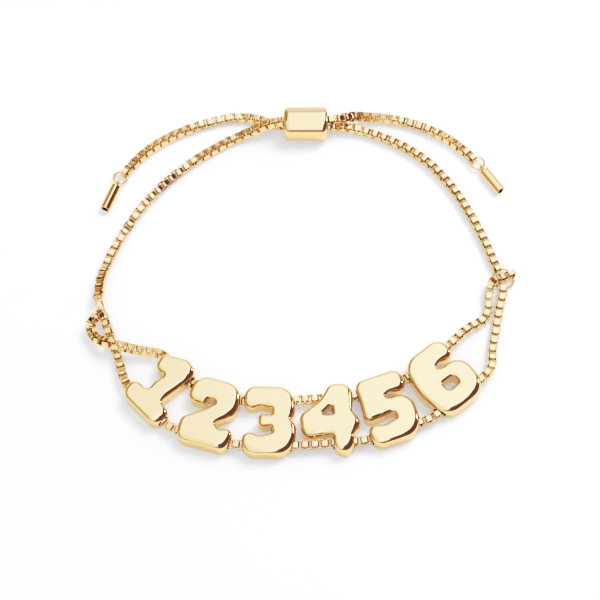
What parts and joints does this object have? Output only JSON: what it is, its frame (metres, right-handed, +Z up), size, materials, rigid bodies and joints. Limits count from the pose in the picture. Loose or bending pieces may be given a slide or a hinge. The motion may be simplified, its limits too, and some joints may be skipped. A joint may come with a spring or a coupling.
{
  "type": "nameplate bracelet",
  "caption": "Box-chain bracelet with a row of bubble-shaped numeral charms on twin strands, closed by a sliding bead, with two short capped chain ends.",
  "frame": {"origin": "on the surface that the bracelet lies on, under the middle of its overall box", "axes": "+Z up from the surface, +X to the right of a reader of the numerals, +Y from the numerals towards the slider bead"},
  "size_m": [0.0706, 0.0628, 0.0049],
  "materials": {
    "charm_one": "polished gold plate",
    "charm_two": "polished gold plate",
    "charm_three": "polished gold plate",
    "charm_four": "polished gold plate",
    "charm_five": "polished gold plate",
    "charm_six": "polished gold plate",
    "upper_strand": "polished gold plate",
    "lower_strand": "polished gold plate",
    "left_chain": "polished gold plate",
    "right_chain": "polished gold plate",
    "slider_bead": "polished gold plate",
    "left_side_ring": "polished gold plate",
    "right_side_ring": "polished gold plate",
    "left_end_ring": "polished gold plate",
    "right_end_ring": "polished gold plate",
    "left_end_cap": "polished gold plate",
    "right_end_cap": "polished gold plate"
  },
  "bodies": {
    "root": {"charm_one": "charm_one", "charm_two": "charm_two", "charm_three": "charm_three", "charm_four": "charm_four", "charm_five": "charm_five", "charm_six": "charm_six", "upper_strand": "upper_strand", "lower_strand": "lower_strand", "left_chain": "left_chain", "right_chain": "right_chain", "slider_bead": "slider_bead", "left_side_ring": "left_side_ring", "right_side_ring": "right_side_ring", "left_end_ring": "left_end_ring", "right_end_ring": "right_end_ring", "left_end_cap": "left_end_cap", "right_end_cap": "right_end_cap"}
  },
  "joints": []
}
